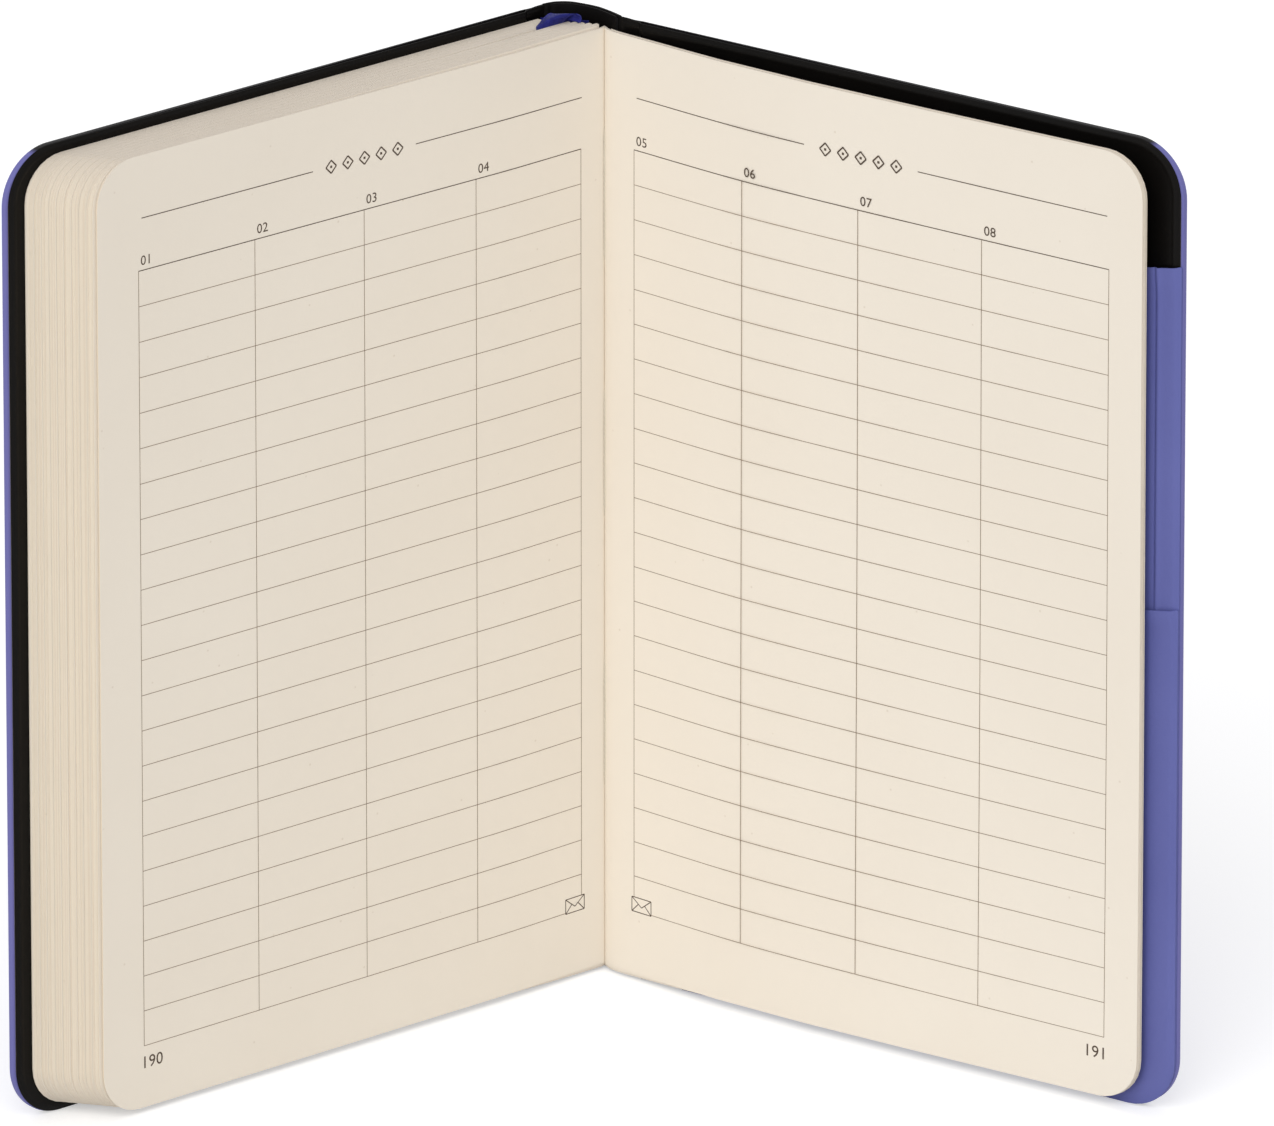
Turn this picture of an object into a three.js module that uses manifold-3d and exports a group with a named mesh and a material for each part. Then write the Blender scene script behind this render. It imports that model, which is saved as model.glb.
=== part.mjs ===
// Hard-cover notebook with sewn, numbered pages, standing on its bottom edges and open at its last section.
// Millimetres, +Z up. The reader is on the -Y side, and the opening is symmetric about the YZ plane.
// Every piece is drawn in the coordinates of the closed book: x runs from the spine to the fore-edge, y from
// the front cover to the back cover and z from tail to head. Groups turn or slide the pieces from there to
// the open position, so the closed book is what is left when every turn and slide is undone.
import * as THREE from 'three';
import { mergeVertices } from 'three/addons/utils/BufferGeometryUtils.js';
import Module from 'manifold-3d';

const wasm = await Module();
wasm.setup();

// Cover
const coverHeight = 180;
const frontCoverWidth = 120;
const backCoverWidth = 117.5;
const coverCornerRadius = 10;
const skinThickness = 0.42;
const skinEdgeRadius = 0.3;
const boardThickness = 0.85;
const liningThickness = 0.18;
const rimWidth = 0.55;           // skin that is turned round the edges of the board
const rimClearance = 0.06;
const liningInset = 0.9;         // lining edge to fore-edge, where the skin shows as a rim
const liningHeadInset = 0.25;
const grooveWidth = 5;           // flexible strip between the hinge line and the board
const hingeSetback = 0.48;       // edge of a skin to its hinge line
const liningSetback = 5.2;       // edge of a cover's lining to its hinge line
const layerGap = 0.03;           // between glued layers

// Spine
const spineCardThickness = 0.4;
const spineCardInset = 1.4;
const spineLiningInset = 1.6;
const spineBulge = 3.1;          // rounding of the hollow back beyond the line between its two hinges

// Paper
const pageWidth = 114;
const pageHeight = 176.2;
const pageCornerRadius = 8;
const leafThickness = 0.1;
const leafPitch = 0.15;
const leafOffset = 0.15;         // each leaf of the open section ends a little further out than the last
const flyleafThickness = 0.12;
const sectionCount = 10;
const openLeaves = 5;            // leaves of the last section that lie on the back cover
const blockThickness = 10.2;     // at the fore-edge, without the open leaves
const blockThicknessAtFold = 9.5;
const swellLength = 26;          // over which the block swells from its folds outwards
const sectionGap = 0.06;
const paperGap = 0.05;
const foreEdgeSlant = 0.6;       // share of the shear that lies within a section, and not between two

// Gutter of the open section
const leafPivotDepth = 0.7;       // turning line of the open leaves beyond the last fold, into the block
const leafInnerSetback = -0.8;   // last fold to the inner edge of the open leaves
const leafLift = 0.7;            // air between the open leaves and the open cover
const leafArch = 1.2;            // rise of the open leaves towards their inner edge
const leafArchLength = 5;
const flyleafSetback = 0.2;

// Binding
const foldSetback = 2;           // folds to the hinge lines, when closed
const gauzeThickness = 0.15;
const gauzeClearance = 0.5;
const gauzeExtraLean = 2;        // of the gauze beyond the slope of the folds, in degrees
const gauzeHeight = 160;
const threadDiameter = 0.36;
const threadLift = 0.3;          // middle of the thread above the last fold
const sewingHoles = [19, 44, 68, 92, 118, 143];   // below the head of the page

// Pocket in the back cover
const pocketThickness = 0.3;
const pocketUpperHeight = 155;
const pocketLowerHeight = 91;
const pocketEdgeInset = 1.2;     // pocket to the fore-edge and tail of the cover
const pocketHingeInset = 14;
const pocketGap = 0.1;

// Ribbon marker
const ribbonWidth = 9.6;
const ribbonThickness = 0.2;
const ribbonGap = 0.4;           // opened between the two sections that hold the ribbon
const ribbonSectionCount = 4;    // sections in front of the ribbon
const ribbonTailHeight = 14;
const ribbonInset = 1;           // ribbon to the folds, inside the block
const ribbonAnchorLength = 28;
const ribbonAnchorWidth = 8.6;

// Pose in which it stands
const openingAngle = 107;        // between the two open pages, in degrees
const spineLean = 27;          // turn of the spine out of square, in degrees
const blockShear = 7.6;         // distance that the last page has slid back towards the spine
const frontCoverOpening = 0;     // the front cover lies on the block

const degrees = THREE.MathUtils.degToRad;

// Levels of the closed book, counted from the first page outwards
const frontLiningFace = -paperGap - flyleafThickness - paperGap;
const coverThickness = skinThickness + boardThickness + liningThickness + 2 * layerGap;
const frontFace = frontLiningFace - coverThickness;
const openLeafFace = blockThickness + paperGap;
const backFlyleafFace = openLeafFace + openLeaves * leafPitch + paperGap;
const pocketLowerFace = backFlyleafFace + flyleafThickness + pocketGap;
const pocketUpperFace = pocketLowerFace + pocketThickness + pocketGap;
const backLiningFace = pocketUpperFace + pocketThickness + pocketGap;
const backFace = backLiningFace + coverThickness;
const spineLength = backFace - frontFace;
const pageTail = (coverHeight - pageHeight) / 2;
const pageHead = pageTail + pageHeight;

// Hinge lines and folds, in the plan of the closed book
const frontHinge = new THREE.Vector2(0, frontFace);
const backHinge = new THREE.Vector2(0, backFace);
const sectionsShown = sectionCount - 0.5;
const lastFold = new THREE.Vector2(foldSetback, blockThicknessAtFold);
const gauzePivot = new THREE.Vector2(foldSetback - gauzeClearance, 0);

// Paint and paper
const finish = (color, roughness) => new THREE.MeshStandardMaterial({ color, roughness, metalness: 0 });
const lavenderSkin = 0x6a6fa6;
const blackLining = 0x171514;
const greyBoard = 0x8d8578;
const creamPaper = 0xe8dfc9;
const gauzeWhite = 0xd8d4c8;
const ribbonBlue = 0x2f3494;
const threadWhite = 0xe9e4d6;

// Pieces are added to the group that carries them
function addPiece(group, name, geometry, color, roughness = 0.85) {
  geometry.deleteAttribute('uv');
  geometry.computeVertexNormals();
  const piece = new THREE.Mesh(geometry, finish(color, roughness));
  piece.name = name;
  group.add(piece);
  return piece;
}

// A group that turns about the vertical line through `pivot`, holding pieces drawn in the closed book
function turning(parent, pivot, angle, place = pivot) {
  const outer = new THREE.Group();
  outer.position.set(place.x, place.y, 0);
  outer.rotation.z = angle;
  const inner = new THREE.Group();
  inner.position.set(-pivot.x, -pivot.y, 0);
  outer.add(inner);
  parent.add(outer);
  return inner;
}

// Solids for joining and cutting
function toSolid(geometry) {
  const bare = geometry.clone();
  bare.deleteAttribute('normal');
  bare.deleteAttribute('uv');
  const merged = mergeVertices(bare, 1e-5);
  const vertProperties = new Float32Array(merged.attributes.position.array);
  const triVerts = new Uint32Array(merged.index.array);
  return new wasm.Manifold(new wasm.Mesh({ numProp: 3, vertProperties, triVerts }));
}

function toGeometry(solid) {
  const mesh = solid.getMesh();
  const geometry = new THREE.BufferGeometry();
  geometry.setAttribute('position', new THREE.BufferAttribute(new Float32Array(mesh.vertProperties), 3));
  geometry.setIndex(new THREE.BufferAttribute(new Uint32Array(mesh.triVerts), 1));
  return geometry;
}

// Outline of a cover or page in x and z, square at the spine and round at the two outer corners
function outline(x0, x1, z0, z1, radius) {
  const shape = new THREE.Shape();
  shape.moveTo(x0, z0);
  shape.lineTo(x1 - radius, z0);
  shape.absarc(x1 - radius, z0 + radius, radius, -Math.PI / 2, 0, false);
  shape.lineTo(x1, z1 - radius);
  shape.absarc(x1 - radius, z1 - radius, radius, 0, Math.PI / 2, false);
  shape.lineTo(x0, z1);
  shape.closePath();
  return shape;
}

// A flat sheet of that outline, from level y0 to y1
function sheet(shape, y0, y1, edgeRadius = 0) {
  const geometry = new THREE.ExtrudeGeometry(shape, {
    depth: y1 - y0 - 2 * edgeRadius,
    curveSegments: 8,
    bevelEnabled: edgeRadius > 0,
    bevelThickness: edgeRadius,
    bevelSize: edgeRadius,
    bevelOffset: -edgeRadius,
    bevelSegments: 2,
  });
  geometry.rotateX(Math.PI / 2);
  geometry.translate(0, y1 - edgeRadius, 0);
  return geometry;
}

// A closed body lofted through rings of four corners each
function loft(rings) {
  const positions = rings.flat().flatMap((corner) => [corner.x, corner.y, corner.z]);
  const index = [];
  const sides = 4;
  for (let ring = 0; ring < rings.length - 1; ring += 1) {
    for (let side = 0; side < sides; side += 1) {
      const a = ring * sides + side;
      const b = ring * sides + ((side + 1) % sides);
      index.push(a, a + sides, b + sides, a, b + sides, b);
    }
  }
  const last = (rings.length - 1) * sides;
  index.push(0, 1, 2, 0, 2, 3, last, last + 2, last + 1, last, last + 3, last + 2);
  const geometry = new THREE.BufferGeometry();
  geometry.setAttribute('position', new THREE.Float32BufferAttribute(positions, 3));
  geometry.setIndex(index);
  return geometry;
}

// A lofted ring that stands across a page: low and high are points of the plan
function standingRing(low, high, z0, z1) {
  return [
    new THREE.Vector3(low.x, low.y, z0),
    new THREE.Vector3(low.x, low.y, z1),
    new THREE.Vector3(high.x, high.y, z1),
    new THREE.Vector3(high.x, high.y, z0),
  ];
}

// Stations along a page, as distance from its fold and height lost at each outer corner
function pageStations(start, width) {
  const stations = [];
  const bendSteps = 5;
  for (let step = 0; step <= bendSteps; step += 1) {
    stations.push({ x: start + (swellLength * step) / bendSteps, cut: 0 });
  }
  const cornerSteps = 6;
  for (let step = 0; step <= cornerSteps; step += 1) {
    const angle = (Math.PI / 2) * (step / cornerSteps);
    stations.push({
      x: width - pageCornerRadius * (1 - Math.sin(angle)),
      cut: pageCornerRadius * (1 - Math.cos(angle)),
    });
  }
  return stations;
}

// Level of the block's layers: share 0 is the first page and share 1 the last, x is counted from the folds
function blockLevel(share, x) {
  const along = THREE.MathUtils.smoothstep(x, 0, swellLength);
  return share * THREE.MathUtils.lerp(blockThicknessAtFold, blockThickness, along);
}

// A folded section of the block between two shares of its thickness, with a round fold at the spine
function section(lowShare, highShare, lowGap, highGap) {
  const lowFold = blockLevel(lowShare, 0) + lowGap;
  const highFold = blockLevel(highShare, 0) - highGap;
  const middle = (lowFold + highFold) / 2;
  const radius = (highFold - lowFold) / 2;
  const slant = blockShear * (highShare - lowShare) * foreEdgeSlant;
  const rings = [];
  const noseAngles = [20, 45, 68];
  for (const angle of noseAngles) {
    const x = foldSetback + radius * (1 - Math.cos(degrees(angle)));
    const half = radius * Math.sin(degrees(angle));
    rings.push(standingRing(new THREE.Vector2(x, middle - half), new THREE.Vector2(x, middle + half),
      pageTail, pageHead));
  }
  for (const station of pageStations(radius, pageWidth)) {
    const nearForeEdge = THREE.MathUtils.smoothstep(station.x, swellLength, pageWidth);
    const low = new THREE.Vector2(foldSetback + station.x, blockLevel(lowShare, station.x) + lowGap);
    const high = new THREE.Vector2(foldSetback + station.x - slant * nearForeEdge,
      blockLevel(highShare, station.x) - highGap);
    rings.push(standingRing(low, high, pageTail + station.cut, pageHead - station.cut));
  }
  return loft(rings);
}

// A single leaf, its face at level `face` and its inner edge arched up into the gutter
function leaf(face, thickness, start, width, arch) {
  const rings = pageStations(start, width).map((station) => {
    const rise = arch * (1 - THREE.MathUtils.smoothstep(station.x, start, start + leafArchLength));
    const low = new THREE.Vector2(foldSetback + station.x, face + rise);
    const high = new THREE.Vector2(low.x, low.y + thickness);
    return standingRing(low, high, pageTail + station.cut, pageHead - station.cut);
  });
  return loft(rings);
}

// Cover: a skin that wraps a board on three edges, and a lining pasted over it.
// `outer` is the level of the outer face, and `inwards` is 1 or -1, from there to the pages.
function cover(group, side, width, outer, inwards) {
  const between = (from, to) => [outer + inwards * from, outer + inwards * to].sort((a, b) => a - b);
  const boardTop = skinThickness + layerGap + boardThickness;
  const skinOutline = outline(hingeSetback, width, 0, coverHeight, coverCornerRadius);
  const hollowOutline = outline(-1, width - rimWidth, rimWidth, coverHeight - rimWidth,
    coverCornerRadius - rimWidth);
  const whole = toSolid(sheet(skinOutline, ...between(0, boardTop), skinEdgeRadius));
  const hollow = toSolid(sheet(hollowOutline, ...between(skinThickness, boardTop + 1)));
  addPiece(group, `${side}_cover_skin`, toGeometry(whole.subtract(hollow)), lavenderSkin, 0.5);

  const boardEdge = rimWidth + rimClearance;
  const boardOutline = outline(grooveWidth, width - boardEdge, boardEdge, coverHeight - boardEdge,
    coverCornerRadius - boardEdge);
  addPiece(group, `${side}_cover_board`, sheet(boardOutline, ...between(skinThickness + layerGap, boardTop)),
    greyBoard);

  const liningOutline = outline(liningSetback, width - liningInset, liningHeadInset,
    coverHeight - liningHeadInset, coverCornerRadius - liningInset);
  const liningFrom = boardTop + layerGap;
  addPiece(group, `${side}_cover_lining`,
    sheet(liningOutline, ...between(liningFrom, liningFrom + liningThickness)), blackLining, 0.4);
}

// Spine: layers that follow one rounded profile between the two hinge lines.
// The profile is a share of the bulge at a share of the spine's length.
const spineProfile = new THREE.SplineCurve([
  [0, 0], [0.1, 0.62], [0.26, 1], [0.45, 1], [0.62, 0.88], [0.76, 0.62], [0.88, 0.33], [0.95, 0.14], [1, 0],
].map(([share, bulge]) => new THREE.Vector2(-bulge * spineBulge, frontFace + share * spineLength)));

function spineLayer(depth, thickness, inset) {
  const steps = 22;
  const outer = [];
  const inner = [];
  for (let step = 0; step <= steps; step += 1) {
    const share = THREE.MathUtils.lerp(inset / spineLength, 1 - inset / spineLength, step / steps);
    const point = spineProfile.getPoint(share);
    const tangent = spineProfile.getTangent(share);
    const inwards = new THREE.Vector2(tangent.y, -tangent.x);
    outer.push(point.clone().addScaledVector(inwards, depth));
    inner.push(point.clone().addScaledVector(inwards, depth + thickness));
  }
  return new THREE.Shape([...outer, ...inner.reverse()]);
}

function standing(shape, z0, z1) {
  const geometry = new THREE.ExtrudeGeometry(shape, { depth: z1 - z0, bevelEnabled: false });
  geometry.translate(0, 0, z0);
  return geometry;
}

// The book, in its own plan
const book = new THREE.Group();

const frontCover = turning(book, frontHinge, -degrees(frontCoverOpening));
cover(frontCover, 'front', frontCoverWidth, frontFace, 1);

const spine = turning(book, frontHinge, degrees(spineLean));
const cardDepth = skinThickness + layerGap;
const spineLiningDepth = cardDepth + spineCardThickness + layerGap;
addPiece(spine, 'spine_skin', standing(spineLayer(0, skinThickness, hingeSetback), 0, coverHeight),
  lavenderSkin, 0.5);
addPiece(spine, 'spine_card', standing(spineLayer(cardDepth, spineCardThickness, spineCardInset),
  rimWidth, coverHeight - rimWidth), greyBoard);
addPiece(spine, 'spine_lining', standing(spineLayer(spineLiningDepth, liningThickness, spineLiningInset),
  liningHeadInset, coverHeight - liningHeadInset), blackLining, 0.4);

const backHingeOpen = backHinge.clone().rotateAround(frontHinge, degrees(spineLean));
const backCover = turning(book, backHinge, degrees(openingAngle), backHingeOpen);
cover(backCover, 'back', backCoverWidth, backFace, -1);

// Pocket in the back cover: two tiers, glued at the sides and tail, with open top edges
const pocketRadius = coverCornerRadius - pocketEdgeInset;
function pocketTier(height, face) {
  const shape = new THREE.Shape();
  const right = backCoverWidth - pocketEdgeInset;
  shape.moveTo(pocketHingeInset, pocketEdgeInset);
  shape.lineTo(right - pocketRadius, pocketEdgeInset);
  shape.absarc(right - pocketRadius, pocketEdgeInset + pocketRadius, pocketRadius, -Math.PI / 2, 0, false);
  shape.lineTo(right, height);
  shape.lineTo(pocketHingeInset, height);
  shape.closePath();
  return sheet(shape, face, face + pocketThickness);
}
addPiece(backCover, 'pocket_upper', pocketTier(pocketUpperHeight, pocketUpperFace), lavenderSkin, 0.5);
addPiece(backCover, 'pocket_lower', pocketTier(pocketLowerHeight, pocketLowerFace), lavenderSkin, 0.5);

// Front flyleaf and first leaf
const firstFold = new THREE.Vector2(foldSetback, 0);
const frontFlyleaf = turning(book, firstFold, 0);
addPiece(frontFlyleaf, 'front_flyleaf',
  leaf(frontLiningFace + paperGap, flyleafThickness, paperGap, pageWidth, 0), creamPaper);
const firstLeaf = turning(book, firstFold, 0);
addPiece(firstLeaf, 'first_leaf', leaf(0, leafThickness, paperGap, pageWidth, 0), creamPaper);

// Sewn sections. Each has slid towards the spine by its share of the shear.
const sectionShare = (index) => Math.min(index, sectionsShown) / sectionsShown;
const middleShare = (index) => (sectionShare(index - 1) + sectionShare(index)) / 2;
const slideOf = (index) => blockShear * (middleShare(index) - middleShare(1));
const sections = [];
for (let index = 1; index <= sectionCount; index += 1) {
  const group = new THREE.Group();
  group.position.x = -slideOf(index);
  book.add(group);
  sections.push(group);
  const firstGap = index === 1 ? leafPitch : sectionGap / 2;
  const lowGap = index === ribbonSectionCount + 1 ? ribbonGap / 2 : firstGap;
  const highGap = index === ribbonSectionCount ? ribbonGap / 2 : sectionGap / 2;
  addPiece(group, `section_${String(index).padStart(2, '0')}`,
    section(sectionShare(index - 1), sectionShare(index), lowGap, highGap), creamPaper);
}

// Open leaves of the last section, and the back flyleaf behind them. They turn with the section's fold as
// their centre, about a line chosen so that the stack that lies under the closed cover also lies on the
// open one: its level is found from how far the open cover's outer face passes in front of the last fold.
const lastSection = sections[sectionCount - 1];
const openNormal = new THREE.Vector2(0, 1).rotateAround(new THREE.Vector2(), degrees(openingAngle));
const lastFoldOpen = lastFold.clone().setX(lastFold.x - slideOf(sectionCount));
const coverInFront = lastFoldOpen.clone().sub(backHingeOpen).dot(openNormal);
const foldBelowCover = backFace - lastFold.y;
const leafPivotHeight = (coverInFront + foldBelowCover + leafLift + openNormal.x * leafPivotDepth)
  / (1 - openNormal.y);
const leafPivot = new THREE.Vector2(lastFold.x + leafPivotDepth, lastFold.y + leafPivotHeight);
const openStack = turning(lastSection, leafPivot, degrees(openingAngle));
for (let index = 0; index < openLeaves; index += 1) {
  const face = openLeafFace + index * leafPitch;
  const width = pageWidth + index * leafOffset;
  addPiece(openStack, `open_leaf_${index + 1}`,
    leaf(face, leafThickness, leafInnerSetback, width, leafArch), creamPaper);
}
addPiece(openStack, 'back_flyleaf',
  leaf(backFlyleafFace, flyleafThickness, flyleafSetback, pageWidth + openLeaves * leafOffset, leafArch),
  creamPaper);

// Sewing thread in the gutter: one stitch between each pair of holes
const stitchCount = sewingHoles.length / 2;
for (let stitch = 0; stitch < stitchCount; stitch += 1) {
  const top = pageHead - sewingHoles[2 * stitch];
  const bottom = pageHead - sewingHoles[2 * stitch + 1];
  const radius = threadDiameter / 2;
  const geometry = new THREE.CapsuleGeometry(radius, top - bottom - threadDiameter, 2, 8);
  geometry.rotateX(Math.PI / 2);
  geometry.translate(lastFold.x, lastFold.y + threadLift, (top + bottom) / 2);
  addPiece(lastSection, `stitch_${stitch + 1}`, geometry, threadWhite);
}

// Gauze glued over the folds, leaning with them
const gauzeLean = Math.atan2(blockShear, blockThicknessAtFold) + degrees(gauzeExtraLean);
const gauze = turning(book, gauzePivot, gauzeLean);
const gauzeOutline = new THREE.Shape([
  new THREE.Vector2(gauzePivot.x - gauzeThickness, sectionGap),
  new THREE.Vector2(gauzePivot.x, sectionGap),
  new THREE.Vector2(gauzePivot.x, blockThicknessAtFold),
  new THREE.Vector2(gauzePivot.x - gauzeThickness, blockThicknessAtFold),
]);
const gauzeTail = (coverHeight - gauzeHeight) / 2;
addPiece(gauze, 'binding_gauze', standing(gauzeOutline, gauzeTail, gauzeTail + gauzeHeight), gauzeWhite);

// Ribbon marker: its end is glued behind the gauze, and from there it passes over the head into the block
const ribbonLevel = blockLevel(sectionShare(ribbonSectionCount), swellLength / 4);
const anchorHead = pageHead;
const anchorBack = gauzePivot.x - gauzeThickness - layerGap;
const anchorShape = new THREE.Shape([
  new THREE.Vector2(anchorBack - ribbonThickness, ribbonLevel - ribbonAnchorWidth / 2),
  new THREE.Vector2(anchorBack, ribbonLevel - ribbonAnchorWidth / 2),
  new THREE.Vector2(anchorBack, ribbonLevel + ribbonAnchorWidth / 2),
  new THREE.Vector2(anchorBack - ribbonThickness, ribbonLevel + ribbonAnchorWidth / 2),
]);
addPiece(gauze, 'ribbon_glued_end', standing(anchorShape, anchorHead - ribbonAnchorLength, anchorHead),
  ribbonBlue);

// The loop over the head turns the ribbon's width from along the page to across the folds
const ribbonMiddle = foldSetback + ribbonInset + ribbonWidth / 2;
const loopRise = 1.75;
const loopLanding = 0.4;
const loopBack = 0.6;
const loopTwist = degrees(78);
const ribbonRoute = new THREE.CubicBezierCurve3(
  new THREE.Vector3(ribbonMiddle, ribbonLevel, pageHead),
  new THREE.Vector3(ribbonMiddle, ribbonLevel, pageHead + 1.3 * loopRise),
  new THREE.Vector3(foldSetback - loopBack, ribbonLevel, pageHead + 1.3 * loopRise),
  new THREE.Vector3(foldSetback - loopBack, ribbonLevel, pageHead + loopLanding),
);
const ribbonRings = [];
const ribbonRing = (centre, travel, twist) => {
  const across = new THREE.Vector3(Math.cos(twist), -Math.sin(twist), 0);
  const facing = new THREE.Vector3().crossVectors(across, travel).normalize();
  const corner = (side, face) => centre.clone().addScaledVector(across, (side * ribbonWidth) / 2)
    .addScaledVector(facing, (face * ribbonThickness) / 2);
  return [corner(-1, -1), corner(1, -1), corner(1, 1), corner(-1, 1)];
};
const upwards = new THREE.Vector3(0, 0, 1);
const straightSteps = 8;
for (let step = 0; step < straightSteps; step += 1) {
  const height = THREE.MathUtils.lerp(ribbonTailHeight, pageHead, step / straightSteps);
  ribbonRings.push(ribbonRing(new THREE.Vector3(ribbonMiddle, ribbonLevel, height), upwards, 0));
}
const loopSteps = 12;
for (let step = 0; step <= loopSteps; step += 1) {
  const share = step / loopSteps;
  const travel = ribbonRoute.getTangent(share);
  ribbonRings.push(ribbonRing(ribbonRoute.getPoint(share), travel, loopTwist * share));
}
addPiece(sections[ribbonSectionCount - 1], 'ribbon_marker', loft(ribbonRings), ribbonBlue);

// Stand the book with its opening towards the reader, and its footprint centred on the origin
const notebook = new THREE.Group();
book.rotation.z = Math.PI + degrees((180 - openingAngle) / 2);
notebook.add(book);
notebook.updateMatrixWorld(true);
const reach = new THREE.Box3().setFromObject(notebook, true);
book.position.set(-(reach.min.x + reach.max.x) / 2, -(reach.min.y + reach.max.y) / 2, 0);
notebook.updateMatrixWorld(true);

export default notebook;
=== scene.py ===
import math
import random

import bmesh
import bpy
from mathutils import Matrix, Vector


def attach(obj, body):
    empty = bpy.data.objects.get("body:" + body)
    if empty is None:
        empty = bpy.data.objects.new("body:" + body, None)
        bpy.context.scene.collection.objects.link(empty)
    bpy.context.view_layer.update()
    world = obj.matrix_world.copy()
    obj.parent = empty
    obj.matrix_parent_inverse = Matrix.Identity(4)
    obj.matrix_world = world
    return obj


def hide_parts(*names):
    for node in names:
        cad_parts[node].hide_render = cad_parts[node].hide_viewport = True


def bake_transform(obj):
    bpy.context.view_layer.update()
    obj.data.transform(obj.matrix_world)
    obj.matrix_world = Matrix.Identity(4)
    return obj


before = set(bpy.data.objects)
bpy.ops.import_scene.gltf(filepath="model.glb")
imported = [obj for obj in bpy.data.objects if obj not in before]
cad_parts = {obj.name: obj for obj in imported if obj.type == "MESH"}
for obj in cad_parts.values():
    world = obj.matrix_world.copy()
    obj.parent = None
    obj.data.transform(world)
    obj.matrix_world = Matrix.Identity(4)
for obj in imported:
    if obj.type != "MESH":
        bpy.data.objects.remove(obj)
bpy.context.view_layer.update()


# Camera: a long lens a little above the book and slightly to its left, so that upright edges stay upright.
# It looks at the middle of the gutter.
camera_pitch = math.radians(21.25)
camera_turn = math.radians(2.7)
camera_distance = 4.6
gutter = Vector((0.0048532, 0.0323029, 0))
sight = Vector((math.sin(camera_turn) * math.cos(camera_pitch),
                math.cos(camera_turn) * math.cos(camera_pitch), -math.sin(camera_pitch)))
aim = gutter + Vector((math.cos(camera_turn), -math.sin(camera_turn), 0)) * 0.00566 + Vector((0, 0, 0.07719))
bpy.ops.object.camera_add(location=aim - sight * camera_distance,
                          rotation=(math.pi / 2 - camera_pitch, 0, -camera_turn))
camera = bpy.context.object
camera.name = "camera"
camera.data.sensor_width = 36
camera.data.lens = 738.2
camera.data.clip_end = 50
bpy.context.scene.camera = camera
bpy.context.scene.view_settings.view_transform = "Standard"


# Floor and light: a white studio floor, a broad soft lamp from the upper left in front, and a bright room.
# The floor adds a little of its own light to camera and mirror rays only, so that it shows white.
def add_node(tree, kind, values, **settings):
    """A shader node with its settings and inputs. A value that is another node's output is linked."""
    node = tree.nodes.new("ShaderNode" + kind)
    for setting, value in settings.items():
        setattr(node, setting, value)
    for label, value in values.items():
        if isinstance(value, bpy.types.NodeSocket):
            tree.links.new(value, node.inputs[label])
        else:
            node.inputs[label].default_value = value
    return node


def studio_mix(tree, seen, unseen):
    """A value that is `seen` on camera, glossy and clear rays, and `unseen` on all others."""
    rays = add_node(tree, "LightPath", {}).outputs
    glossy = add_node(tree, "Math", {0: rays["Is Camera Ray"], 1: rays["Is Glossy Ray"]}, operation="MAXIMUM")
    clear = add_node(tree, "Math", {0: glossy.outputs[0], 1: rays["Is Transmission Ray"]},
                     operation="MAXIMUM")
    span = add_node(tree, "MapRange", {"Value": clear.outputs[0], "To Min": unseen, "To Max": seen})
    return span.outputs["Result"]


bpy.ops.mesh.primitive_plane_add(size=14)
floor = bpy.context.object
floor.name = "studio_floor"
floor_paint = bpy.data.materials.new("studio floor")
floor_paint.use_nodes = True
floor_shader = floor_paint.node_tree.nodes["Principled BSDF"]
floor_shader.inputs["Base Color"].default_value = (0.78, 0.78, 0.78, 1)
floor_shader.inputs["Roughness"].default_value = 1
floor_shader.inputs["Specular IOR Level"].default_value = 0
floor_shader.inputs["Emission Color"].default_value = (1, 1, 1, 1)
floor_paint.node_tree.links.new(studio_mix(floor_paint.node_tree, 0.43, 0),
                                floor_shader.inputs["Emission Strength"])
floor.data.materials.append(floor_paint)

world = bpy.data.worlds.new("studio room")
bpy.context.scene.world = world
world.use_nodes = True
room = world.node_tree.nodes["Background"]
world.node_tree.links.new(studio_mix(world.node_tree, 1, 0.6), room.inputs["Strength"])
room.inputs["Color"].default_value = (1, 1, 1, 1)

lamp_from = Vector((-0.24, -0.72, 0.64))
bpy.ops.object.light_add(type="SUN", rotation=lamp_from.to_track_quat("Z", "Y").to_euler())
lamp = bpy.context.object
lamp.name = "soft_lamp"
lamp.data.energy = 1.24
lamp.data.angle = math.radians(50)


# Cover skins: lavender leather-like cloth, wrapped over the boards of the front and back cover and turned in
# round three edges, with a shallow pressed joint beside the spine. Each is a tray that holds its board.
MM = 0.001
cover_height = 180 * MM
front_cover_width = 120 * MM
back_cover_width = 117.5 * MM
cover_corner = 10 * MM
cover_top = 1.3 * MM          # outer face to the top of the board
skin_thickness = 0.42 * MM
skin_rim = 0.55 * MM
joint_middle = 3 * MM
joint_reach = 1.9 * MM
joint_depth = 0.2 * MM
front_face = -1.73 * MM       # outer faces in the plan of the closed book
back_face = 13.58 * MM
front_stand = (216.5, (0, front_face), (-5.846 * MM, 38.356 * MM))
back_stand = (323.5, (0, back_face), (7.856 * MM, 31.525 * MM))


covers = (("front", front_cover_width, front_face, 1, front_stand),
          ("back", back_cover_width, back_face, -1, back_stand))


def colour(red, green, blue):
    """A colour as seen on a screen, from 0 to 255, as the linear values that a shader takes."""
    linear = [v / 12.92 if v <= 0.04045 else ((v + 0.055) / 1.055) ** 2.4
              for v in (red / 255, green / 255, blue / 255)]
    return (*linear, 1)


def effect_group(name, **inputs):
    """A shader node group that takes a place and named values."""
    group = bpy.data.node_groups.new(name, "ShaderNodeTree")
    group.interface.new_socket("Place", in_out="INPUT", socket_type="NodeSocketVector")
    for label, value in inputs.items():
        socket = group.interface.new_socket(label, in_out="INPUT", socket_type="NodeSocketFloat")
        socket.default_value = value
    return group, group.nodes.new("NodeGroupInput").outputs


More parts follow.
